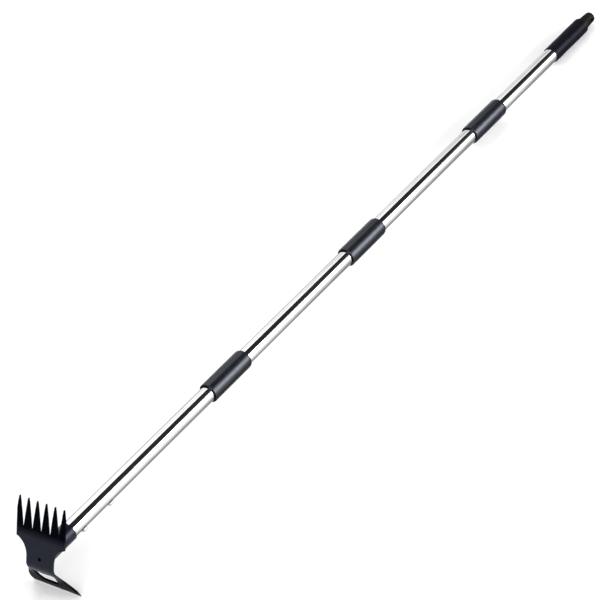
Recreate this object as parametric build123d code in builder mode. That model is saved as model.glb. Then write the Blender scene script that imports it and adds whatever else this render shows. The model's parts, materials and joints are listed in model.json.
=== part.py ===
"""Stand up weeder: a rake and hoe head on a pole of four screw-together sections.

Row frame: the pole runs along +X from head to grip, the tines point up +Z, and Y is across the blade.
The origin is the middle of the cutting edge, where the tool touches the ground. Millimetres.
"""
import os
from math import cos, radians, sin, sqrt, tan

from build123d import *

os.makedirs("parts", exist_ok=True)

# ---------------------------------------------------------------- driving dimensions
pole_d = 25.0               # outside diameter of the stainless tube
tube_wall = 0.9
section_pitch = 350.0       # from one coupling to the next
section_count = 4
first_coupling = 431.8      # along the pole, from the bend to the first coupling's centre
last_section = 334.2        # from the last coupling's centre to the end of the tip

# head: one stamped plate, bent once between the rake and the hoe
plate_t = 3.0
rake_lean = 24.4            # degrees from upright, towards the grip
blade_lean = 20.5           # degrees from upright, towards the grip, below the bend
bend_inner_r = 10.7
axis_above_bend = 12.5

tine_count = 6
tine_pitch = 16.0
tine_top = 96.0             # all heights on the rake are measured up its face from the bend
tine_root_outer = 54.0
tine_root_middle = 51.0
tine_root_half = 7.0
tine_belly_half = 4.1
tine_belly_part = 0.45      # how far up the tine the belly is measured
tine_tip_half = 0.3

rake_half = 43.2
shoulder_height = 38.6
neck_half = 24.0
neck_height = 13.5
vent_d = 5.5                # vent hole of the ferrule weld
vent_height = 14.2

blade_depth = 54.3          # all depths on the blade are measured down its face from the bend
blade_half = 43.5
blade_side_half = 37.5      # half width of the blade midway down its curved sides
blade_corner_r = 1.0
flare_depth = 8.0           # where the sides start to flare
flare_r = 6.0
edge_t = 0.5                # thickness left at the cutting edge
front_bevel = 1.2           # what the grinding takes off the front face at the edge
bevel_depth = 12.0
window_top = 8.5
window_sag = 3.0            # how far the middle of the window's top edge hangs down
window_bottom = 37.0
window_top_half = 21.5
window_bottom_half = 15.5
window_top_corner_r = 3.0
window_bottom_corner_r = 7.0

# joint between the head and the first tube
ferrule_d = 28.0
ferrule_reach = 69.0        # along the pole, from the bend to the ferrule's mouth
ferrule_chamfer = 0.6
spigot_d = 23.0
spigot_wall = 1.5
spigot_reach = 92.0         # past the ferrule's mouth
weld_leg = 3.5
weld_toe = 0.3              # width of the bead where it meets the ferrule
screw_offsets = (19.3, 77.0)    # from the ferrule's mouth
screw_turn = 135.0          # degrees about the pole, from straight up towards +Y: below, on the -Y side
screw_d = 5.0
screw_clearance = 0.1
dome_d = 9.0
dome_h = 3.2
dome_rim = 0.4              # upright rim left under the dome
nut_flats = 8.0
nut_t = 4.0

# couplings: a sleeve fixed on the upper tube screws down over a plug in the lower tube
sleeve_d = 30.8
sleeve_start = -45.5        # from the coupling's centre, and so are the next four
sleeve_end = 42.0
shoulder_start = 36.5
upper_tube_start = 18.0
plug_seat = -20.0
shoulder_end_r = 13.3
sleeve_lip = 0.6
gap = 0.3                   # running gap between bodies
plug_flange_t = 3.0
plug_body_length = 40.0
thread_d = 22.0
thread_length = 33.0
thread_lead_in = 1.2
washer_t = 2.0
plug_bore_d = 15.0

# grip and hanging tip
grip_d = 27.6
grip_length = 99.5
grip_round = 2.0
tip_length = 31.2
tip_root_d = 21.6
tip_end_d = 18.0
tip_end_round = 5.0
tip_flat = 17.0             # thickness across the flats that the hanging hole goes through
tip_flat_length = 24.0
hang_hole_d = 7.0
hang_hole_from_end = 11.0
end_wall = 3.0
hanger_flange_t = 2.0
hanger_body_length = 35.0

# ---------------------------------------------------------------- derived places
bend_angle = rake_lean + blade_lean
bend_outer_r = bend_inner_r + plate_t
bend_setback = bend_outer_r * tan(radians(bend_angle / 2))

sin_rake, cos_rake = sin(radians(rake_lean)), cos(radians(rake_lean))
sin_blade, cos_blade = sin(radians(blade_lean)), cos(radians(blade_lean))
bend_x = -(blade_depth * sin_blade + front_bevel * cos_blade)
bend_z = blade_depth * cos_blade - front_bevel * sin_blade
axis_z = bend_z + axis_above_bend
mouth_x = bend_x + ferrule_reach
tube_bore_d = pole_d - 2 * tube_wall

pole_axis = Axis((0, 0, axis_z), (1, 0, 0))
rake_plane = Plane(origin=(bend_x, 0, bend_z), x_dir=(0, 1, 0), z_dir=(cos_rake, 0, -sin_rake))
blade_plane = Plane(origin=(bend_x, 0, bend_z), x_dir=(0, -1, 0), z_dir=(cos_blade, 0, sin_blade))


def across_pole(x):
    """Plane square to the pole at x, facing the grip."""
    return Plane(origin=(x, 0, axis_z), x_dir=(0, 1, 0), z_dir=(1, 0, 0))


def beside_pole(x):
    """Plane through the pole's axis: its own X runs along the pole from x, its Y is the radius."""
    return Plane(origin=(x, 0, axis_z), x_dir=(1, 0, 0), z_dir=(0, -1, 0))


def screw_plane(x):
    """Plane square to a head screw, on the pole's axis at x, facing out through the screw's head."""
    turn = radians(screw_turn)
    return Plane(origin=(x, 0, axis_z), x_dir=(1, 0, 0), z_dir=(0, -sin(turn), cos(turn)))


def save(finished, name):
    """Label a finished sub-part and write its STEP file."""
    finished.label = name
    export_step(finished, f"parts/{name}.step")


def blade_point(depth, offset):
    """Point in the XZ plane, at a depth down the blade and an offset behind its front face."""
    return (bend_x + depth * sin_blade + offset * cos_blade,
            bend_z - depth * cos_blade + offset * sin_blade)


def rake_point(height, offset):
    """Point in the XZ plane, at a height up the rake and an offset behind its front face."""
    return (bend_x + height * sin_rake + offset * cos_rake,
            bend_z + height * cos_rake - offset * sin_rake)


# ---------------------------------------------------------------- head plate
tine_places = [(n - (tine_count - 1) / 2) * tine_pitch for n in range(tine_count)]
gap_places = [(n - (tine_count - 2) / 2) * tine_pitch for n in range(tine_count - 1)]
gap_half = tine_pitch / 2 - tine_root_half
belly_height = tine_root_outer + tine_belly_part * (tine_top - tine_root_outer)


def root_height(y):
    """Height of a gap's floor at y: the roots lie on a shallow curve, lowest in the middle."""
    return tine_root_middle + (tine_root_outer - tine_root_middle) * (y / gap_places[-1]) ** 2


with BuildPart() as head_plate:
    # rake: waisted body, with a round-bottomed gap below each pair of tines
    with BuildSketch(rake_plane):
        with BuildLine():
            Polyline((-neck_half, neck_height), (-neck_half, bend_setback),
                     (neck_half, bend_setback), (neck_half, neck_height))
            TangentArc((neck_half, neck_height), (rake_half, shoulder_height), tangent=(0, 1))
            Polyline((rake_half, shoulder_height), (rake_half, tine_root_outer),
                     (-rake_half, tine_root_outer), (-rake_half, shoulder_height))
            TangentArc((-neck_half, neck_height), (-rake_half, shoulder_height), tangent=(0, 1))
        make_face()
        with Locations(*[(y, root_height(y)) for y in gap_places]):
            Circle(gap_half, mode=Mode.SUBTRACT)
            Rectangle(2 * gap_half, tine_top, align=(Align.CENTER, Align.MIN), mode=Mode.SUBTRACT)
    extrude(amount=plate_t)
    # rake: spearhead tines, the outer pair cut straight along the plate's sides
    for y in tine_places:
        with BuildSketch(rake_plane):
            with BuildLine():
                Line((y - tine_tip_half, tine_top), (y + tine_tip_half, tine_top))
                ThreePointArc((y + tine_tip_half, tine_top), (y + tine_belly_half, belly_height),
                              (y + tine_root_half, tine_root_middle))
                Line((y + tine_root_half, tine_root_middle), (y - tine_root_half, tine_root_middle))
                ThreePointArc((y - tine_root_half, tine_root_middle), (y - tine_belly_half, belly_height),
                              (y - tine_tip_half, tine_top))
            make_face()
            Rectangle(2 * rake_half, 3 * tine_top, mode=Mode.INTERSECT)
        extrude(amount=plate_t)
    with BuildSketch(rake_plane):
        with Locations((0, vent_height)):
            Circle(vent_d / 2)
    extrude(amount=plate_t, mode=Mode.SUBTRACT)
    # bend: a sector of a ring across the neck
    with BuildSketch(Plane.XZ):
        with BuildLine():
            outer = CenterArc(rake_point(bend_setback, bend_outer_r), bend_outer_r,
                              180 - rake_lean, bend_angle)
            inner = CenterArc(rake_point(bend_setback, bend_outer_r), bend_inner_r,
                              180 - rake_lean, bend_angle)
            Line(outer @ 0, inner @ 0)
            Line(outer @ 1, inner @ 1)
        make_face()
    extrude(amount=neck_half, both=True)
    # hoe blade: sides that flare out on a curve to pointed corners
    with BuildSketch(blade_plane) as blade_outline:
        with BuildLine():
            for side in (1, -1):
                Line((side * neck_half, bend_setback), (side * neck_half, flare_depth))
                ThreePointArc((side * neck_half, flare_depth),
                              (side * blade_side_half, (flare_depth + blade_depth) / 2),
                              (side * blade_half, blade_depth))
            Line((-neck_half, bend_setback), (neck_half, bend_setback))
            Line((-blade_half, blade_depth), (blade_half, blade_depth))
        make_face()
        fillet(blade_outline.vertices().group_by(Axis.Y)[-1], blade_corner_r)
        fillet(blade_outline.vertices().group_by(Axis.Y)[1], flare_r)
    extrude(amount=plate_t)
    with BuildSketch(blade_plane) as window:
        with BuildLine():
            ThreePointArc((-window_top_half, window_top), (0, window_top + window_sag),
                          (window_top_half, window_top))
            Polyline((window_top_half, window_top), (window_bottom_half, window_bottom),
                     (-window_bottom_half, window_bottom), (-window_top_half, window_top))
        make_face()
        fillet(window.vertices().group_by(Axis.Y)[-1], window_bottom_corner_r)
        fillet(window.vertices().group_by(Axis.Y)[0], window_top_corner_r)
    extrude(amount=plate_t, mode=Mode.SUBTRACT)
    # cutting edge: both faces ground back to it
    with BuildSketch(Plane.XZ):
        for face, edge, outside in ((0, front_bevel, -plate_t), (plate_t, front_bevel + edge_t, 2 * plate_t)):
            with BuildLine():
                Polyline(blade_point(blade_depth - bevel_depth, face), blade_point(blade_depth, edge),
                         blade_point(blade_depth + plate_t, edge), blade_point(blade_depth + plate_t, outside),
                         blade_point(blade_depth - bevel_depth, outside), close=True)
            make_face()
    extrude(amount=blade_half + plate_t, both=True, mode=Mode.SUBTRACT)
save(head_plate.part, "head_plate")

# ---------------------------------------------------------------- ferrule, spigot and weld
rake_back = rake_plane.offset(plate_t)
spigot_start_x = rake_point(0, plate_t)[0] + (axis_above_bend + spigot_d) * tan(radians(rake_lean))

with BuildPart() as ferrule:
    with BuildSketch(across_pole(bend_x)):
        Circle(ferrule_d / 2)
        Circle(spigot_d / 2, mode=Mode.SUBTRACT)
    extrude(amount=ferrule_reach)
    split(bisect_by=rake_back, keep=Keep.TOP)
    chamfer(ferrule.edges().filter_by(GeomType.CIRCLE).group_by(Axis.X)[-1].sort_by(SortBy.RADIUS)[-1],
            ferrule_chamfer)
    add(head_plate.part, mode=Mode.SUBTRACT)
save(ferrule.part, "ferrule")

with BuildPart() as spigot:
    with BuildSketch(across_pole(spigot_start_x)):
        Circle(spigot_d / 2)
        Circle(spigot_d / 2 - spigot_wall, mode=Mode.SUBTRACT)
    extrude(amount=mouth_x + spigot_reach - spigot_start_x)
    for offset_x in screw_offsets:
        with BuildSketch(screw_plane(mouth_x + offset_x)):
            Circle(screw_d / 2 + screw_clearance)
        extrude(amount=pole_d, mode=Mode.SUBTRACT)
save(spigot.part, "spigot")

weld_x = (plate_t + axis_above_bend * sin_rake) / cos_rake
weld_height = weld_x * sin_rake + axis_above_bend * cos_rake

with BuildPart() as weld_bead:
    for height, leg in ((0, weld_leg), (weld_leg, weld_toe)):
        with BuildSketch(rake_back.offset(height)):
            with Locations((0, weld_height + height * tan(radians(rake_lean)))):
                Ellipse(ferrule_d / 2 + leg, ferrule_d / 2 / cos_rake + leg)
    loft()
    with BuildSketch(across_pole(bend_x - plate_t)):
        Circle(ferrule_d / 2)
    extrude(amount=ferrule_reach, mode=Mode.SUBTRACT)
    add(head_plate.part, mode=Mode.SUBTRACT)
    split(bisect_by=Plane((0, 0, bend_z)), keep=Keep.TOP)
save(weld_bead.part, "weld_bead")

# ---------------------------------------------------------------- head screws and their weld nuts
nut_outer = sqrt((spigot_d / 2 - spigot_wall) ** 2 - (nut_flats / 2 / cos(radians(30))) ** 2)

with BuildPart() as spigot_nuts:
    for offset_x in screw_offsets:
        with BuildSketch(screw_plane(mouth_x + offset_x).offset(nut_outer - nut_t)):
            RegularPolygon(nut_flats / 2, 6, major_radius=False)
            Circle(screw_d / 2 + screw_clearance, mode=Mode.SUBTRACT)
        extrude(amount=nut_t)
save(spigot_nuts.part, "spigot_nuts")

with BuildPart() as spigot_screws:
    for offset_x in screw_offsets:
        seat = screw_plane(mouth_x + offset_x).offset(pole_d / 2)
        with BuildSketch(seat):
            Circle(screw_d / 2)
        extrude(amount=-(pole_d / 2 - nut_outer + nut_t))
        with BuildSketch(seat):
            Circle(dome_d / 2)
        extrude(amount=dome_h)
    dome_tops = spigot_screws.edges().filter_by(GeomType.CIRCLE).group_by(SortBy.RADIUS)[-1]
    fillet(dome_tops.group_by(Axis((0, 0, 0), screw_plane(0).z_dir))[-1], dome_h - dome_rim)
save(spigot_screws.part, "spigot_screws")

# ---------------------------------------------------------------- the four tubes
coupling_places = [bend_x + first_coupling + section_pitch * n for n in range(section_count - 1)]
tip_end_x = coupling_places[-1] + last_section
grip_end_x = tip_end_x - tip_length
hanger_flange_x = grip_end_x - end_wall - hanger_flange_t

tube_starts = [mouth_x] + [x + upper_tube_start for x in coupling_places]
tube_ends = [x + plug_seat for x in coupling_places] + [hanger_flange_x]

for number, (start, end) in enumerate(zip(tube_starts, tube_ends), 1):
    with BuildPart() as tube:
        with BuildSketch(across_pole(start)):
            Circle(pole_d / 2)
            Circle(tube_bore_d / 2, mode=Mode.SUBTRACT)
        extrude(amount=end - start)
        if number == 1:
            for offset_x in screw_offsets:
                with BuildSketch(screw_plane(mouth_x + offset_x)):
                    Circle(screw_d / 2 + screw_clearance)
                extrude(amount=pole_d, mode=Mode.SUBTRACT)
    save(tube.part, f"tube_{number}")

# ---------------------------------------------------------------- screw couplings
for number, centre in enumerate(coupling_places, 1):
    washer_start = plug_seat + plug_flange_t + gap
    bore_start = washer_start + washer_t + gap

    with BuildPart() as thread_plug:
        with BuildSketch(beside_pole(centre + plug_seat)):
            with BuildLine():
                Polyline((-plug_body_length, plug_bore_d / 2), (-plug_body_length, tube_bore_d / 2),
                         (0, tube_bore_d / 2), (0, pole_d / 2), (plug_flange_t, pole_d / 2),
                         (plug_flange_t, thread_d / 2), (plug_flange_t + thread_length, thread_d / 2),
                         (plug_flange_t + thread_length, plug_bore_d / 2), close=True)
            make_face()
        revolve(axis=pole_axis)
        chamfer(thread_plug.edges().filter_by(GeomType.CIRCLE).group_by(Axis.X)[-1].sort_by(SortBy.RADIUS)[-1],
                thread_lead_in)
    save(thread_plug.part, f"thread_plug_{number}")

    with BuildPart() as washer:
        with BuildSketch(across_pole(centre + washer_start)):
            Circle(pole_d / 2)
            Circle(thread_d / 2 + gap, mode=Mode.SUBTRACT)
        extrude(amount=washer_t)
    save(washer.part, f"coupling_washer_{number}")

    with BuildPart() as sleeve:
        with BuildSketch(beside_pole(centre)):
            with BuildLine():
                TangentArc((shoulder_start, sleeve_d / 2), (sleeve_end, shoulder_end_r), tangent=(1, 0))
                Polyline((sleeve_end, shoulder_end_r), (sleeve_end, pole_d / 2),
                         (upper_tube_start, pole_d / 2), (upper_tube_start, thread_d / 2 + gap),
                         (bore_start, thread_d / 2 + gap), (bore_start, pole_d / 2 + gap),
                         (sleeve_start, pole_d / 2 + gap), (sleeve_start, sleeve_d / 2 - sleeve_lip),
                         (sleeve_start + sleeve_lip, sleeve_d / 2), (shoulder_start, sleeve_d / 2))
            make_face()
        revolve(axis=pole_axis)
    save(sleeve.part, f"coupling_sleeve_{number}")

# ---------------------------------------------------------------- grip and hanging tip
with BuildPart() as grip_sleeve:
    with BuildSketch(across_pole(grip_end_x - grip_length)):
        Circle(grip_d / 2)
    extrude(amount=grip_length)
    with BuildSketch(across_pole(grip_end_x - grip_length)):
        Circle(pole_d / 2)
    extrude(amount=grip_length - end_wall, mode=Mode.SUBTRACT)
    with BuildSketch(across_pole(grip_end_x - end_wall)):
        Circle(tip_root_d / 2)
    extrude(amount=end_wall, mode=Mode.SUBTRACT)
    rims = grip_sleeve.edges().filter_by(GeomType.CIRCLE)
    fillet(rims.group_by(Axis.X)[-1].sort_by(SortBy.RADIUS)[-1], grip_round)
    chamfer(rims.group_by(Axis.X)[0].sort_by(SortBy.RADIUS)[-1], sleeve_lip)
save(grip_sleeve.part, "grip_sleeve")

with BuildPart() as hanger_plug:
    with BuildSketch(beside_pole(hanger_flange_x)):
        with BuildLine():
            Polyline((-hanger_body_length, 0), (-hanger_body_length, tube_bore_d / 2), (0, tube_bore_d / 2),
                     (0, pole_d / 2), (hanger_flange_t, pole_d / 2), (hanger_flange_t, tip_root_d / 2),
                     (hanger_flange_t + end_wall, tip_root_d / 2),
                     (hanger_flange_t + end_wall + tip_length, tip_end_d / 2),
                     (hanger_flange_t + end_wall + tip_length, 0), close=True)
        make_face()
    revolve(axis=pole_axis)
    fillet(hanger_plug.edges().filter_by(GeomType.CIRCLE).group_by(Axis.X)[-1], tip_end_round)
    # flats on both sides of the hanging hole
    for side in (1, -1):
        with BuildSketch(across_pole(tip_end_x - tip_flat_length)):
            with Locations((side * (tip_flat / 2 + pole_d / 2), 0)):
                Rectangle(pole_d, pole_d)
        extrude(amount=tip_flat_length, mode=Mode.SUBTRACT)
    with BuildSketch(beside_pole(tip_end_x - hang_hole_from_end)):
        Circle(hang_hole_d / 2)
    extrude(amount=pole_d, both=True, mode=Mode.SUBTRACT)
save(hanger_plug.part, "hanger_plug")

print(f"cutting edge to pole axis {axis_z:.2f}, ferrule mouth at x {mouth_x:.2f}, tip end at x {tip_end_x:.2f}")
print(f"hanging hole centre x {tip_end_x - hang_hole_from_end:.2f}, flats {tip_flat:.2f} apart")
print("coupling centres", [round(x, 2) for x in coupling_places])
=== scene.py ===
"""Stand up weeder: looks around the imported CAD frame. Metres, in the row frame: pole along +X, tines up."""
import json
import math

import bmesh
import bpy
from mathutils import Matrix, Vector


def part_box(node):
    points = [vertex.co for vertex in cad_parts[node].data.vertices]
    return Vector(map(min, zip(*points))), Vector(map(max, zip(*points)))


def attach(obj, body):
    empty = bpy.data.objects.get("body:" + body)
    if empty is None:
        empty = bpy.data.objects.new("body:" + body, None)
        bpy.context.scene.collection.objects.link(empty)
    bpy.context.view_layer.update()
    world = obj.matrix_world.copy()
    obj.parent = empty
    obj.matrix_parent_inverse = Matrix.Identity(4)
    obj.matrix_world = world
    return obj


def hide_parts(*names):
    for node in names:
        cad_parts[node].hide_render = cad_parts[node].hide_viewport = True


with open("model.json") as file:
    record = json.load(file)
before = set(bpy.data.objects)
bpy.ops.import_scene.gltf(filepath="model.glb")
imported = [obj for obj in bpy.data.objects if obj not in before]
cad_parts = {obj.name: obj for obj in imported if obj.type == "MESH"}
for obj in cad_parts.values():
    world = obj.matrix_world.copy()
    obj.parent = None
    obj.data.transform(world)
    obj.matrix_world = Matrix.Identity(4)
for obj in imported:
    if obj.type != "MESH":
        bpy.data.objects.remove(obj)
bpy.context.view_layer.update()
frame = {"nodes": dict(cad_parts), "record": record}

SCENE = bpy.context.scene
SCENE.view_settings.view_transform = "Standard"
MM = 0.001

# ------------------------------------------------------------------ places read from the frame
SLOT_OF = {part["node"]: part["material_slot"] for part in frame["record"]["subparts"]}
BODY_OF = {node: body for body, nodes in frame["record"]["behaviour"]["bodies"].items() for node in nodes}

TUBE_LOW, TUBE_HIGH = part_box("tube_2")
AXIS_Z = (TUBE_LOW.z + TUBE_HIGH.z) / 2
TUBE_R = (TUBE_HIGH.z - TUBE_LOW.z) / 2
MOUTH_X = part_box("tube_1")[0].x
TIP_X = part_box("hanger_plug")[1].x
POLE_LENGTH = TIP_X - MOUTH_X
COUPLINGS = (1, 2, 3)

# local Z along the pole, local X across it to +Y, local Y up
POLE = Matrix(((0, 0, 1, 0), (1, 0, 0, 0), (0, 1, 0, AXIS_Z), (0, 0, 0, 1)))


# ------------------------------------------------------------------ camera
VIEW_AZIMUTH = math.radians(-46.2)
VIEW_ELEVATION = math.radians(35.0)
VIEW_ROLL = math.radians(-13.7)
VIEW_DISTANCE = 3.793
LENS_MM = 153.4
SENSOR_MM = 36.0
AIM_ALONG_POLE = 0.392      # of the pole's length from the ferrule's mouth
AIM_ABOVE_AXIS = 4.5 * MM
CLIP_END = 100


def make_camera():
    """Camera at the reference viewing angle: rolled, so that the pole runs corner to corner."""
    level_right = Vector((math.cos(VIEW_AZIMUTH), math.sin(VIEW_AZIMUTH), 0))
    level_forward = Vector((-math.sin(VIEW_AZIMUTH), math.cos(VIEW_AZIMUTH), 0))
    forward = math.cos(VIEW_ELEVATION) * level_forward - math.sin(VIEW_ELEVATION) * Vector((0, 0, 1))
    level_up = level_right.cross(forward)
    right = math.cos(VIEW_ROLL) * level_right + math.sin(VIEW_ROLL) * level_up
    up = right.cross(forward)
    aim = Vector((MOUTH_X + AIM_ALONG_POLE * POLE_LENGTH, 0, AXIS_Z + AIM_ABOVE_AXIS))
    place = aim - VIEW_DISTANCE * forward
    data = bpy.data.cameras.new("camera")
    data.lens = LENS_MM
    data.sensor_width = SENSOR_MM
    data.clip_end = CLIP_END
    camera = bpy.data.objects.new("camera", data)
    turn = Matrix((right, up, -forward)).transposed().to_4x4()
    camera.matrix_world = Matrix.Translation(place) @ turn
    SCENE.collection.objects.link(camera)
    SCENE.camera = camera


# ------------------------------------------------------------------ node helpers
METAL_SHADED_RIM = (0.26, 0.58)        # how far a metal faces away, between which painted shade darkens its rim
DIELECTRIC_SHADED_RIM = (0.24, 0.46)   # the same for enamel and plastics, whose shine painted shade turns down at the rim
NOISE_MIDDLE = (0.35, 0.65)     # range that holds most of a soft noise
NOISE_WIDE = (0.3, 0.7)         # the same for a noise with more detail
BUMP_STRENGTH = 0.5


def new_material(name):
    """Empty material with a Principled shader: returns the material, its tree and the shader."""
    material = bpy.data.materials.new(name)
    material.use_nodes = True
    tree = material.node_tree
    shader = tree.nodes["Principled BSDF"]
    return material, tree, shader


def object_coordinates(tree, scale=(1, 1, 1)):
    """Object coordinates times a scale: the place in the row frame in metres, at a scale of 1."""
    source = tree.nodes.new("ShaderNodeTexCoord")
    mapping = tree.nodes.new("ShaderNodeMapping")
    mapping.inputs["Scale"].default_value = scale
    tree.links.new(source.outputs["Object"], mapping.inputs["Vector"])
    return mapping.outputs["Vector"]


def noise(tree, vector, scale, detail=4.0, roughness=0.55):
    """Noise texture factor on a vector."""
    node = tree.nodes.new("ShaderNodeTexNoise")
    node.inputs["Scale"].default_value = scale
    node.inputs["Detail"].default_value = detail
    node.inputs["Roughness"].default_value = roughness
    tree.links.new(vector, node.inputs["Vector"])
    return node.outputs["Fac"]


def remap(tree, value, from_range, to_range):
    """Value scaled from one range to another, clamped."""
    node = tree.nodes.new("ShaderNodeMapRange")
    for name, number in zip(("From Min", "From Max", "To Min", "To Max"), (*from_range, *to_range)):
        node.inputs[name].default_value = number
    tree.links.new(value, node.inputs["Value"])
    return node.outputs["Result"]


def mix_colours(tree, factor, dark, light):
    """Colour between two colours by a factor."""
    node = tree.nodes.new("ShaderNodeMix")
    node.data_type = "RGBA"
    node.inputs["A"].default_value = (*dark, 1)
    node.inputs["B"].default_value = (*light, 1)
    tree.links.new(factor, node.inputs["Factor"])
    return node.outputs["Result"]


def painted_rim_shade(tree, limits, full, rim):
    """Painted shade: a value that falls from full to its rim value where the surface turns away."""
    facing = tree.nodes.new("ShaderNodeLayerWeight")
    return remap(tree, facing.outputs["Facing"], limits, (full, rim))


def scaled_colour(tree, colour, share):
    """Colour times a share."""
    scaled = tree.nodes.new("ShaderNodeVectorMath")
    scaled.operation = "SCALE"
    tree.links.new(colour, scaled.inputs["Vector"])
    tree.links.new(share, scaled.inputs["Scale"])
    return scaled.outputs["Vector"]


def product(tree, first, second):
    """Two values multiplied."""
    node = tree.nodes.new("ShaderNodeMath")
    node.operation = "MULTIPLY"
    tree.links.new(first, node.inputs[0])
    tree.links.new(second, node.inputs[1])
    return node.outputs["Value"]


def add_bump(tree, shader, height, distance, strength=BUMP_STRENGTH):
    """Bump from a height that stands for a distance in metres."""
    node = tree.nodes.new("ShaderNodeBump")
    node.inputs["Distance"].default_value = distance
    node.inputs["Strength"].default_value = strength
    tree.links.new(height, node.inputs["Height"])
    tree.links.new(node.outputs["Normal"], shader.inputs["Normal"])


# ------------------------------------------------------------------ materials
COOL_SHINE = (0.84, 0.89, 1.0, 1.0)
TINE_SHADE_HEIGHTS = (88 * MM, 100 * MM)      # heights above the cutting edge, between which painted shade darkens the enamel of the tines
# heights above the cutting edge, between which painted shade darkens the enamel of the blade
BLADE_SHADE_HEIGHTS = (44 * MM, 30 * MM)
SHADE_SHARE = 0.2                        # of the enamel's colour that painted shade leaves on the tines and the blade; its shine keeps the square of it
ENAMEL_DARK, ENAMEL_LIGHT = (0.0030, 0.0040, 0.0100), (0.0050, 0.0062, 0.0150)
# the enamel's shine, and what painted shade leaves of it at the rim
ENAMEL_SHINE, ENAMEL_SHADED_RIM_SHINE = 0.25, 0.12
ENAMEL_ROUGHNESS = (0.26, 0.40)
ENAMEL_GRAIN = 0.06 * MM
STEEL_DARK, STEEL_LIGHT = (0.74, 0.74, 0.76), (0.82, 0.82, 0.83)
STEEL_RIM_SHADE = 0.13                        # of the steel's brightness that painted shade leaves at its rim
STEEL_ROUGHNESS = (0.08, 0.16)
DRAWN_LINES = (6, 900, 900)             # scale of the lines: long along the tube, fine across it
LINE_DEPTH = 0.01 * MM
LINE_BUMP = 0.3
# of the plating's brightness that painted shade leaves at its rim
PLATED_RIM_SHADE = 0.1
PLATED_UNEVENNESS = 0.14                # of its roughness
SMOOTHER_BY, ROUGHER_BY = 0.04, 0.05    # the patches of a moulding, than its own roughness
# of a moulding's shine that painted shade leaves at its rim
MOULDED_SHADED_RIM = 0.08


def enamel_material():
    """Blue-black enamel on steel, clouded in colour and gloss, with painted shade darkening the tines and the
    blade and turning down the shine at its rim.
    """
    material, tree, shader = new_material("enamel_steel")
    place = object_coordinates(tree)
    cloud = remap(tree, noise(tree, place, scale=60, detail=3), NOISE_MIDDLE, (0, 1))
    enamel = mix_colours(tree, cloud, ENAMEL_DARK, ENAMEL_LIGHT)
    split = tree.nodes.new("ShaderNodeSeparateXYZ")
    tree.links.new(place, split.inputs["Vector"])
    # painted shade: the colour, and still more the shine, are turned down on the tines and the blade
    tines = remap(tree, split.outputs["Z"], TINE_SHADE_HEIGHTS, (1, SHADE_SHARE))
    blade = remap(tree, split.outputs["Z"], BLADE_SHADE_HEIGHTS, (1, SHADE_SHARE))
    share = product(tree, tines, blade)
    enamel = scaled_colour(tree, enamel, share)
    # painted shade: the shine is turned down where the plate turns away from the view
    rim = painted_rim_shade(tree, DIELECTRIC_SHADED_RIM, ENAMEL_SHINE, ENAMEL_SHADED_RIM_SHINE)
    shine = product(tree, product(tree, share, share), rim)
    tree.links.new(shine, shader.inputs["Specular IOR Level"])
    shader.inputs["Specular Tint"].default_value = COOL_SHINE
    tree.links.new(enamel, shader.inputs["Base Color"])
    gloss = noise(tree, place, scale=350, detail=6, roughness=0.7)
    tree.links.new(remap(tree, gloss, NOISE_WIDE, ENAMEL_ROUGHNESS), shader.inputs["Roughness"])
    add_bump(tree, shader, noise(tree, place, scale=900, detail=2), ENAMEL_GRAIN)
    return material


def stainless_material():
    """Polished stainless tube: mirror-like, with fine lines drawn along its length, and painted shade
    darkening its rim.
    """
    material, tree, shader = new_material("polished_stainless")
    lines = noise(tree, object_coordinates(tree, DRAWN_LINES), scale=1, detail=3)
    cloud = remap(tree, noise(tree, object_coordinates(tree), scale=25, detail=3), NOISE_MIDDLE, (0, 1))
    steel = mix_colours(tree, cloud, STEEL_DARK, STEEL_LIGHT)
    # painted shade: the steel's colour darkens where the tube turns away from the view
    rim = painted_rim_shade(tree, METAL_SHADED_RIM, 1, STEEL_RIM_SHADE)
    tree.links.new(scaled_colour(tree, steel, rim), shader.inputs["Base Color"])
    shader.inputs["Metallic"].default_value = 1.0
    tree.links.new(remap(tree, lines, NOISE_WIDE, STEEL_ROUGHNESS), shader.inputs["Roughness"])
    add_bump(tree, shader, lines, LINE_DEPTH, LINE_BUMP)
    return material


def plated_material(name, dark, light, roughness, grain_scale):
    """Plated steel: clouded brightness, a gloss that follows the grain of the metal, and painted shade
    darkening its rim.
    """
    material, tree, shader = new_material(name)
    grain = noise(tree, object_coordinates(tree, grain_scale), scale=1)
    colour = mix_colours(tree, grain, dark, light)
    # painted shade: the plating's colour darkens where it turns away from the view
    rim = painted_rim_shade(tree, METAL_SHADED_RIM, 1, PLATED_RIM_SHADE)
    tree.links.new(scaled_colour(tree, colour, rim), shader.inputs["Base Color"])
    shader.inputs["Metallic"].default_value = 1.0
    uneven = remap(tree, grain, NOISE_WIDE, (roughness, roughness + PLATED_UNEVENNESS))
    tree.links.new(uneven, shader.inputs["Roughness"])
    return material


def plastic_material(name, dark, light, roughness, grain_size, grain_depth, shine):
    """Moulded plastic: fine spark-eroded grain, a slightly uneven gloss, and painted shade turning down its
    shine at the rim.
    """
    material, tree, shader = new_material(name)
    place = object_coordinates(tree)
    cloud = remap(tree, noise(tree, place, scale=80, detail=3), NOISE_WIDE, (0, 1))
    tree.links.new(mix_colours(tree, cloud, dark, light), shader.inputs["Base Color"])
    patches = noise(tree, place, scale=240)
    uneven = remap(tree, patches, NOISE_WIDE, (roughness - SMOOTHER_BY, roughness + ROUGHER_BY))
    tree.links.new(uneven, shader.inputs["Roughness"])
    # painted shade: the shine is turned down where the moulding turns away from the view
    rim = painted_rim_shade(tree, DIELECTRIC_SHADED_RIM, shine, MOULDED_SHADED_RIM * shine)
    tree.links.new(rim, shader.inputs["Specular IOR Level"])
    shader.inputs["Specular Tint"].default_value = COOL_SHINE
    add_bump(tree, shader, noise(tree, place, scale=1 / grain_size, detail=2), grain_depth)
    return material


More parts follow.
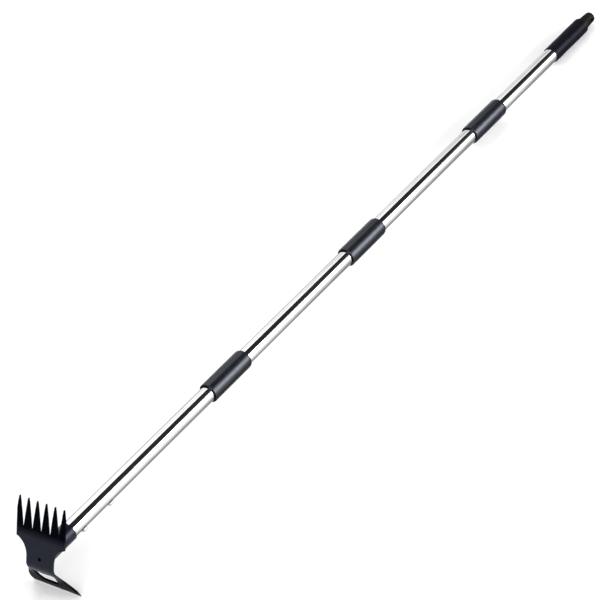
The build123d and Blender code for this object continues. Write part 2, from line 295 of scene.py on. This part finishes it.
MATERIALS = {
    "painted_steel": enamel_material(),
    "stainless_tube": stainless_material(),
    "screw_steel": plated_material(
        "bright_plating", dark=(0.62, 0.62, 0.62), light=(0.84, 0.84, 0.83),
        roughness=0.12, grain_scale=(700, 700, 700)),
    "plated_steel": plated_material(
        "zinc_plating", dark=(0.42, 0.43, 0.44), light=(0.62, 0.62, 0.60),
        roughness=0.30, grain_scale=(20, 500, 500)),
    "coupling_plastic": plastic_material(
        "coupling_moulding", dark=(0.0012, 0.0018, 0.0044), light=(0.0028, 0.0038, 0.0076),
        roughness=0.34, grain_size=0.6 * MM, grain_depth=0.02 * MM, shine=0.6),
    "plug_plastic": plastic_material(
        "plug_nylon", dark=(0.022, 0.022, 0.024), light=(0.036, 0.036, 0.038),
        roughness=0.42, grain_size=0.8 * MM, grain_depth=0.03 * MM, shine=0.3),
    "washer_rubber": plastic_material(
        "washer_rubber", dark=(0.014, 0.014, 0.014), light=(0.024, 0.024, 0.024),
        roughness=0.62, grain_size=0.5 * MM, grain_depth=0.03 * MM, shine=0.3),
    "grip_plastic": plastic_material(
        "grip_moulding", dark=(0.0024, 0.0024, 0.0044), light=(0.0044, 0.0044, 0.0074),
        roughness=0.36, grain_size=0.5 * MM, grain_depth=0.02 * MM, shine=0.10),
    "hanger_plastic": plastic_material(
        "hanger_moulding", dark=(0.0042, 0.0042, 0.0032), light=(0.0072, 0.0072, 0.0058),
        roughness=0.46, grain_size=0.7 * MM, grain_depth=0.04 * MM, shine=0.15),
}


# ------------------------------------------------------------------ carried-over CAD nodes
BEVEL_WIDTHS = {"head_plate": 0.45 * MM, "hanger_plug": 0.35 * MM, "ferrule": 0.2 * MM}
BEVEL_ANGLE = math.radians(30)
BEVEL_SEGMENTS = 2
WELD_DISTANCE = 0.001 * MM


def dress_cad_nodes():
    """Gives every CAD node the material of its slot, and eases the sharp edges of the bevelled ones."""
    for name, node in frame["nodes"].items():
        node.data.materials.clear()
        node.data.materials.append(MATERIALS[SLOT_OF[name]])
    for name, width in BEVEL_WIDTHS.items():
        node = frame["nodes"][name]
        weld = node.modifiers.new("weld", "WELD")
        weld.merge_threshold = WELD_DISTANCE
        bevel = node.modifiers.new("eased_edges", "BEVEL")
        bevel.limit_method = "ANGLE"
        bevel.angle_limit = BEVEL_ANGLE
        bevel.width = width
        bevel.segments = BEVEL_SEGMENTS
        bevel.harden_normals = True
        node.modifiers.new("flat_faces", "WEIGHTED_NORMAL")


# ------------------------------------------------------------------ mesh helpers
ROUND_STEPS = 96
SHARP_ANGLE = math.radians(38)


def add_piece(shape, node):
    """Puts a finished bmesh in the scene in place of a CAD node, with that node's body and material slot."""
    mesh = bpy.data.meshes.new(node + "_detailed")
    bmesh.ops.remove_doubles(shape, verts=shape.verts, dist=WELD_DISTANCE)
    bmesh.ops.recalc_face_normals(shape, faces=shape.faces)
    shape.to_mesh(mesh)
    shape.free()
    mesh.shade_smooth()
    mesh.set_sharp_from_angle(angle=SHARP_ANGLE)
    mesh.materials.append(MATERIALS[SLOT_OF[node]])
    piece = bpy.data.objects.new(node + "_detailed", mesh)
    SCENE.collection.objects.link(piece)
    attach(piece, BODY_OF[node])
    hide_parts(node)


def rounded(corners, radius, steps=4):
    """Closed outline with every corner eased by a short curve."""
    outline = []
    for before, corner, after in zip(corners[-1:] + corners[:-1], corners, corners[1:] + corners[:1]):
        corner = Vector(corner)
        back = Vector(before) - corner
        on = Vector(after) - corner
        start = corner + back.normalized() * min(radius, back.length / 2)
        end = corner + on.normalized() * min(radius, on.length / 2)
        for step in range(steps + 1):
            t = step / steps
            outline.append(tuple((1 - t) ** 2 * start + 2 * t * (1 - t) * corner + t ** 2 * end))
    return outline


def quarter_turn(steps):
    """Angles from 0 to a right angle, in equal steps."""
    return [math.pi / 2 * step / steps for step in range(steps + 1)]


def turn_profile(shape, profile, place, relief=None, steps=ROUND_STEPS):
    """Adds to a bmesh a closed profile of (height, radius) points turned about a placed local Z axis.

    Where the piece isn't round, relief gives the radius for a height, a radius and an angle.
    """
    rings = []
    for step in range(steps):
        angle = math.tau * step / steps
        ring = []
        for height, radius in profile:
            reach = relief(height, radius, angle) if relief else radius
            corner = Vector((reach * math.cos(angle), reach * math.sin(angle), height))
            ring.append(shape.verts.new(place @ corner))
        rings.append(ring)
    for ring, following in zip(rings, rings[1:] + rings[:1]):
        for n in range(len(profile)):
            shape.faces.new((ring[n - 1], following[n - 1], following[n], ring[n]))


def hexagon_reach(flats, angle):
    """Distance from the middle of a hexagon to its side at an angle."""
    return flats / 2 / math.cos(angle % (math.pi / 3) - math.pi / 6)


# ------------------------------------------------------------------ tubes
TUBE_BORE_R = 11.6 * MM
TUBE_EDGE = 0.25 * MM
TUBES = (1, 2, 3, 4)


def make_tube(number):
    """Drawn tube with both cut ends deburred."""
    node = f"tube_{number}"
    low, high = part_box(node)
    wall = [(low.x, TUBE_BORE_R), (low.x, TUBE_R), (high.x, TUBE_R), (high.x, TUBE_BORE_R)]
    shape = bmesh.new()
    turn_profile(shape, rounded(wall, TUBE_EDGE), POLE)
    add_piece(shape, node)


# ------------------------------------------------------------------ weld bead
FERRULE_R = 14 * MM
FERRULE_REACH = 69 * MM         # from its mouth to the plate's bend
RAKE_LEAN = math.radians(24.4)
PLATE_T = 3 * MM
BEND_X = MOUTH_X - FERRULE_REACH
BEND_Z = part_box("weld_bead")[0].z
WELD_LEG = 3.3 * MM
WELD_SINK = 0.15 * MM           # into the plate and the ferrule
WELD_BULGE, WELD_FLAT = 0.55, 0.45      # shares of the leg in a round and in a flat face, mixed
WELD_RIPPLE = 0.45 * MM
WELD_RIPPLES = 44
WELD_CRESCENT = 0.6             # of a ripple, by which its middle runs ahead of its ends
WELD_SWEEP = math.radians(148)
WELD_RUN_OUT = math.radians(14)
WELD_LEAST = 0.02               # of a full section, left at the very ends
WELD_STEPS = 440
WELD_ARC = 9


def plate_back_x(z):
    """Where the rake's back face is at a height."""
    return BEND_X + PLATE_T / math.cos(RAKE_LEAN) + (z - BEND_Z) * math.tan(RAKE_LEAN)


def weld_section(turn):
    """Section of the bead at a turn round the ferrule: (out from the pole's axis, off the plate) points."""
    run_out = min(1, (WELD_SWEEP - abs(turn)) / WELD_RUN_OUT)
    full_leg = WELD_LEG * math.sqrt(max(run_out, WELD_LEAST))
    corner_r = FERRULE_R - WELD_SINK
    section = []
    for step in range(WELD_ARC + 1):
        across = step / WELD_ARC
        crescent = WELD_CRESCENT * math.sin(math.pi * across)
        phase = (turn / WELD_SWEEP * WELD_RIPPLES / 2 + crescent) % 1
        leg = full_leg - WELD_RIPPLE * run_out * (1 - math.sqrt(phase)) * math.sin(math.pi * across)
        belly = math.pi / 2 * across
        out = corner_r + leg * (WELD_FLAT * (1 - across) + WELD_BULGE * math.cos(belly))
        section.append((out, leg * (WELD_FLAT * across + WELD_BULGE * math.sin(belly)) - WELD_SINK))
    section.append((corner_r, -WELD_SINK))
    return section


def make_weld_bead():
    """Hand-laid fillet of weld round the ferrule: overlapping crescent ripples, run out at both ends."""
    shape = bmesh.new()
    rows = []
    for step in range(WELD_STEPS + 1):
        turn = WELD_SWEEP * (2 * step / WELD_STEPS - 1)
        row = []
        for out, off_plate in weld_section(turn):
            z = AXIS_Z + out * math.cos(turn)
            row.append(shape.verts.new((plate_back_x(z) + off_plate, out * math.sin(turn), z)))
        rows.append(row)
    for row, following in zip(rows, rows[1:]):
        for n in range(len(row)):
            shape.faces.new((row[n - 1], following[n - 1], following[n], row[n]))
    shape.faces.new(rows[0])
    shape.faces.new(rows[-1])
    add_piece(shape, "weld_bead")


# ------------------------------------------------------------------ head screws and weld nuts
SCREW_OFFSETS = (19.3 * MM, 77.0 * MM)      # from the ferrule's mouth
SCREW_TURN = math.radians(135)              # from straight up, towards -Y
SCREW_R = 2.5 * MM
SCREW_CHAMFER = 0.4 * MM
DOME_R = 4.5 * MM
DOME_H = 3.2 * MM
DOME_RIM = 0.4 * MM
DOME_TOP_R = 1.8 * MM
DOME_ARC = 10
SOCKET_FLATS = 3.0 * MM
SOCKET_DEPTH = 1.8 * MM
SOCKET_MOUTH = 0.2 * MM     # how far the socket's mouth is opened out
SOCKET_MOUTH_DEPTH = 0.15 * MM
HEXAGON_WITHIN = 2.1 * MM   # of the screw's axis, where its head follows the socket's hexagon
NUT_FLATS = 8.0 * MM
NUT_T = 4.0 * MM
NUT_CLEARANCE = 0.1 * MM
NUT_CHAMFER = 0.5 * MM
NUT_EDGE = 0.15 * MM
NUT_SEAT = 8.87 * MM        # of the nut's outer face from the pole's axis
THREAD_PITCH = 0.8 * MM
THREAD_DEPTH = 0.25 * MM
THREAD_STEPS = 6            # rows of points in each turn of the thread
RIDGE_STEEPNESS = 0.8


def screw_place(offset):
    """Local Z out along a head screw, from the pole's axis."""
    out = Vector((0, -math.sin(SCREW_TURN), math.cos(SCREW_TURN)))
    along = Vector((1, 0, 0))
    side = out.cross(along)
    turn = Matrix((along, side, out)).transposed().to_4x4()
    return Matrix.Translation((MOUTH_X + offset, 0, AXIS_Z)) @ turn


def thread_rows(start, end, radius, spacing):
    """Profile points along a thread, about a spacing apart, for its ridges to be cut in."""
    count = round(abs(end - start) / spacing)
    return [(start + (end - start) * n / count, radius) for n in range(count + 1)]


def ridge(height, angle, pitch):
    """Height of a screw thread's ridge, 0 at the root to 1 at the crest, flat-topped."""
    wave = 0.5 + RIDGE_STEEPNESS * math.cos(math.tau * height / pitch - angle)
    return min(1, max(0, wave))


def make_screws():
    """Button-head screws: a full dome on an upright rim, a hexagon socket and a threaded shank."""
    seat = TUBE_R
    top = seat + DOME_H
    shank_end = NUT_SEAT - NUT_T
    shank = [(shank_end, 0), (shank_end, SCREW_R - SCREW_CHAMFER)]
    shank += thread_rows(shank_end + SCREW_CHAMFER, seat, SCREW_R, THREAD_PITCH / THREAD_STEPS)
    dome = [(seat + DOME_RIM + (DOME_H - DOME_RIM) * math.sin(a),
             DOME_TOP_R + (DOME_R - DOME_TOP_R) * math.cos(a)) for a in quarter_turn(DOME_ARC)]
    socket_r = SOCKET_FLATS / 2
    socket = [(top, socket_r + SOCKET_MOUTH), (top - SOCKET_MOUTH_DEPTH, socket_r),
              (top - SOCKET_DEPTH, socket_r), (top - SOCKET_DEPTH, 0)]
    profile = shank + [(seat, DOME_R)] + dome + socket

    def relief(height, radius, angle):
        if radius == SCREW_R and height < seat:
            return radius - THREAD_DEPTH * (1 - ridge(height, angle, THREAD_PITCH))
        if 0 < radius < HEXAGON_WITHIN and height > seat:
            return radius - socket_r + hexagon_reach(SOCKET_FLATS, angle)
        return radius

    shape = bmesh.new()
    for offset in SCREW_OFFSETS:
        turn_profile(shape, profile, screw_place(offset), relief)
    add_piece(shape, "spigot_screws")


def make_nuts():
    """Hexagon weld nuts with turned-off corners, inside the spigot."""
    low = NUT_SEAT - NUT_T
    high = NUT_SEAT
    bore_r = SCREW_R + NUT_CLEARANCE
    face_r = NUT_FLATS / 2
    corner_r = face_r / math.cos(math.pi / 6)
    outline = [(low, bore_r), (low, face_r), (low + NUT_CHAMFER, corner_r),
               (high - NUT_CHAMFER, corner_r), (high, face_r), (high, bore_r)]
    profile = rounded(outline, NUT_EDGE, steps=2)

    def relief(height, radius, angle):
        return min(radius, hexagon_reach(NUT_FLATS, angle))

    shape = bmesh.new()
    for offset in SCREW_OFFSETS:
        turn_profile(shape, profile, screw_place(offset), relief)
    add_piece(shape, "spigot_nuts")


# ------------------------------------------------------------------ screw couplings
PLUG_FLANGE_T = 3.0 * MM
PLUG_BODY = 40 * MM
PLUG_THREAD_R = 11 * MM
PLUG_THREAD_LENGTH = 33 * MM
PLUG_BORE_R = 7.5 * MM
PLUG_EDGE = 0.35 * MM
PLUG_CHAMFER = 1.2 * MM
THREAD_FADE = 1.5 * MM      # length of the plug's end, over which its thread runs out
COUPLING_LEAD = 5 * MM      # the pole grows by this much per turn of a coupling
COUPLING_THREAD_DEPTH = 0.9 * MM
COUPLING_ROW = COUPLING_LEAD / 12        # between the rows of points along the thread
WASHER_T = 2 * MM
WASHER_EDGE = 0.6 * MM
GAP = 0.3 * MM              # between pieces that turn or slide on each other
SLEEVE_BORE_R = TUBE_R + GAP
SLEEVE_SKIRT = 31.1 * MM    # from the sleeve's open end to its threaded bore, and so are the next two
SLEEVE_THREAD_END = 63.5 * MM
SHOULDER_START = 82 * MM
SHOULDER_END_R = 13.3 * MM
SHOULDER_ARC = 10
SLEEVE_LIP = 0.6 * MM
LIP_ARC = 5


def make_thread_plug(number):
    """Nylon plug: plain body inside the lower tube, flange on its end, and a coarse thread."""
    node = f"thread_plug_{number}"
    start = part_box(node)[0].x
    flange = start + PLUG_BODY
    root = flange + PLUG_FLANGE_T
    end = root + PLUG_THREAD_LENGTH
    body = rounded([(start, PLUG_BORE_R), (start, TUBE_BORE_R), (flange, TUBE_BORE_R), (flange, TUBE_R),
                    (root, TUBE_R), (root, PLUG_THREAD_R)], PLUG_EDGE, steps=3)
    # the body's first and last points face each other: the first ones are left off, because the profile
    # comes back along the bore, and the last ones leave a small undercut at the thread's root
    profile = body[2:] + thread_rows(root + GAP, end - GAP, PLUG_THREAD_R, COUPLING_ROW)
    profile += [(end, PLUG_THREAD_R - PLUG_CHAMFER), (end, PLUG_BORE_R)]

    def relief(height, radius, angle):
        if radius == PLUG_THREAD_R and height > root:
            fade = max(0, THREAD_FADE - (end - height))
            return radius - max(fade, COUPLING_THREAD_DEPTH * (1 - ridge(height, angle, COUPLING_LEAD)))
        return radius

    shape = bmesh.new()
    turn_profile(shape, profile, POLE, relief)
    add_piece(shape, node)


def make_washer(number):
    """Rubber washer with rounded rims."""
    node = f"coupling_washer_{number}"
    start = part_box(node)[0].x
    end = start + WASHER_T
    inner_r = PLUG_THREAD_R + GAP
    outline = [(start, inner_r), (start, TUBE_R), (end, TUBE_R), (end, inner_r)]
    shape = bmesh.new()
    turn_profile(shape, rounded(outline, WASHER_EDGE), POLE)
    add_piece(shape, node)


def make_sleeve(number):
    """Coupling sleeve: rolled lip, parallel barrel, rounded shoulder down to the tube, threaded bore."""
    node = f"coupling_sleeve_{number}"
    low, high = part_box(node)
    start = low.x
    end = high.x
    sleeve_r = (high.z - low.z) / 2
    shoulder = start + SHOULDER_START
    lip = [(start + SLEEVE_LIP * (1 - math.sin(a)), sleeve_r - SLEEVE_LIP * (1 - math.cos(a)))
           for a in reversed(quarter_turn(LIP_ARC))]
    curve = [(shoulder + (end - shoulder) * math.sin(a),
              SHOULDER_END_R + (sleeve_r - SHOULDER_END_R) * math.cos(a)) for a in quarter_turn(SHOULDER_ARC)]
    thread_r = PLUG_THREAD_R + GAP
    thread_start = start + SLEEVE_SKIRT
    thread_end = start + SLEEVE_THREAD_END
    bore = [(end, TUBE_R), (thread_end, TUBE_R)]
    bore += thread_rows(thread_end, thread_start, thread_r, COUPLING_ROW)
    bore += [(thread_start, SLEEVE_BORE_R), (start + SLEEVE_LIP, SLEEVE_BORE_R),
             (start, SLEEVE_BORE_R + SLEEVE_LIP / 2)]

    def relief(height, radius, angle):
        if radius == thread_r:
            return radius + COUPLING_THREAD_DEPTH * (1 - ridge(height, angle, COUPLING_LEAD))
        return radius

    shape = bmesh.new()
    turn_profile(shape, lip + curve + bore, POLE, relief)
    add_piece(shape, node)


# ------------------------------------------------------------------ grip
RIB_PITCH = 3.0 * MM
RIB_DEPTH = 0.45 * MM
RIB_STEPS = 6
RIBBED_FROM, RIBBED_TO = 45 * MM, 81 * MM       # from the grip's open end, and so are the rings' places
RING_PLACES = (5 * MM, 91 * MM)
RING_WIDTH = 1.4 * MM
RING_DEPTH = 0.35 * MM
GRIP_CHAMFER = 0.6 * MM
GRIP_ROUND = 2 * MM
GRIP_ROUND_STEPS = 8
GRIP_WALL = 3 * MM
HANGER_TIP = 31.2 * MM      # how far the hanging tip stands out of the grip
HANGER_ROOT_R = 10.8 * MM


def grip_relief(distance):
    """How deep the grip's surface is cut at a distance from its open end: a band of ribs and two rings."""
    depth = 0
    if RIBBED_FROM < distance < RIBBED_TO:
        depth = RIB_DEPTH * (0.5 - 0.5 * math.cos(math.tau * (distance - RIBBED_FROM) / RIB_PITCH))
    for ring in RING_PLACES:
        near = abs(distance - ring) / (RING_WIDTH / 2)
        if near < 1:
            depth = max(depth, RING_DEPTH * math.sqrt(1 - near * near))
    return depth


def make_grip():
    """Grip: a band of ribs, a ring at each end, and a rounded far end closed round the hanging tip."""
    low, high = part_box("grip_sleeve")
    start = low.x
    end = high.x
    grip_r = (high.z - low.z) / 2
    bore_end = TIP_X - HANGER_TIP - GRIP_WALL
    straight = end - start - GRIP_ROUND
    count = round(straight / RIB_PITCH * RIB_STEPS)
    outside = []
    for n in range(count + 1):
        distance = straight * n / count
        chamfer = max(0, GRIP_CHAMFER - distance)
        outside.append((start + distance, grip_r - chamfer - grip_relief(distance)))
    outside += [(start + straight + GRIP_ROUND * math.sin(a), grip_r - GRIP_ROUND * (1 - math.cos(a)))
                for a in quarter_turn(GRIP_ROUND_STEPS)[1:]]
    inside = [(end, HANGER_ROOT_R), (bore_end, HANGER_ROOT_R), (bore_end, TUBE_R), (start, TUBE_R)]
    shape = bmesh.new()
    turn_profile(shape, outside + inside, POLE)
    add_piece(shape, "grip_sleeve")


# ------------------------------------------------------------------ studio
HORIZON_GREY = 0.55
CEILING_GREY = 0.02
STUDIO_DARKENS = (0.30, 0.62)           # heights of a direction, between which the studio goes dark
FLOOR_HALF = 30.0
FLOOR_CLEARANCE = 0.3 * MM
FLOOR_DARK, FLOOR_LIGHT = (0.93, 0.93, 0.93), (0.96, 0.96, 0.96)
FLOOR_ROUGHNESS = 0.8
FLOOR_SHINE = 0.1


def make_world():
    """Dark studio above, pale towards the horizon, for the polished tubes to reflect."""
    world = bpy.data.worlds.new("studio")
    world.use_nodes = True
    tree = world.node_tree
    source = tree.nodes.new("ShaderNodeTexCoord")
    split = tree.nodes.new("ShaderNodeSeparateXYZ")
    tree.links.new(source.outputs["Generated"], split.inputs["Vector"])
    ceiling = remap(tree, split.outputs["Z"], STUDIO_DARKENS, (0, 1))
    colour = mix_colours(tree, ceiling, [HORIZON_GREY] * 3, [CEILING_GREY] * 3)
    tree.links.new(colour, tree.nodes["Background"].inputs["Color"])
    SCENE.world = world


def make_floor():
    """Pale floor under the tool, tilted so that it carries both the cutting edge and the grip."""
    grip_low, grip_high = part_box("grip_sleeve")
    grip_foot = Vector((grip_high.x, 0, grip_low.z))
    along = grip_foot.normalized()
    across = Vector((0, 1, 0))
    down = along.cross(across) * -FLOOR_CLEARANCE
    corners = [down + FLOOR_HALF * (i * along + j * across) for i, j in ((-1, -1), (1, -1), (1, 1), (-1, 1))]
    mesh = bpy.data.meshes.new("floor")
    mesh.from_pydata([tuple(c) for c in corners], [], [(0, 1, 2, 3)])
    floor = bpy.data.objects.new("floor", mesh)
    SCENE.collection.objects.link(floor)
    material, tree, shader = new_material("pale_floor")
    cloud = noise(tree, object_coordinates(tree), scale=3, detail=3)
    tree.links.new(mix_colours(tree, cloud, FLOOR_DARK, FLOOR_LIGHT), shader.inputs["Base Color"])
    shader.inputs["Roughness"].default_value = FLOOR_ROUGHNESS
    shader.inputs["Specular IOR Level"].default_value = FLOOR_SHINE
    mesh.materials.append(material)


def add_softbox(name, place, aim, size, brightness):
    """Soft rectangular studio light of a surface brightness, at a place, facing a point."""
    data = bpy.data.lights.new(name, "AREA")
    data.shape = "RECTANGLE"
    data.size, data.size_y = size
    data.energy = brightness * math.pi * data.size * data.size_y
    light = bpy.data.objects.new(name, data)
    light.location = place
    light.rotation_euler = (Vector(aim) - Vector(place)).to_track_quat("-Z", "Y").to_euler()
    SCENE.collection.objects.link(light)


def make_lights():
    """Softboxes: overhead, low in front, low behind the pole's far end, and a fill behind the camera."""
    add_softbox("overhead", place=(2.6, 1.9, 2.3), aim=(2.6, 1.9, 0), size=(4.2, 3.0), brightness=1.7)
    add_softbox("low_front", place=(2.2, -2.0, 0.7), aim=(2.2, 0, 0.7), size=(4.4, 1.3), brightness=8.0)
    add_softbox("low_back", place=(3.0, 3.1, 1.15), aim=(3.0, 0, 1.15), size=(5.0, 1.8), brightness=4.0)
    add_softbox("fill", place=(-2.2, -0.8, 2.6), aim=(1.2, 0.4, 0), size=(3.4, 3.0), brightness=3.6)


make_camera()
make_world()
make_floor()
make_lights()
dress_cad_nodes()
for tube in TUBES:
    make_tube(tube)
make_weld_bead()
make_screws()
make_nuts()
for coupling in COUPLINGS:
    make_thread_plug(coupling)
    make_washer(coupling)
    make_sleeve(coupling)
make_grip()
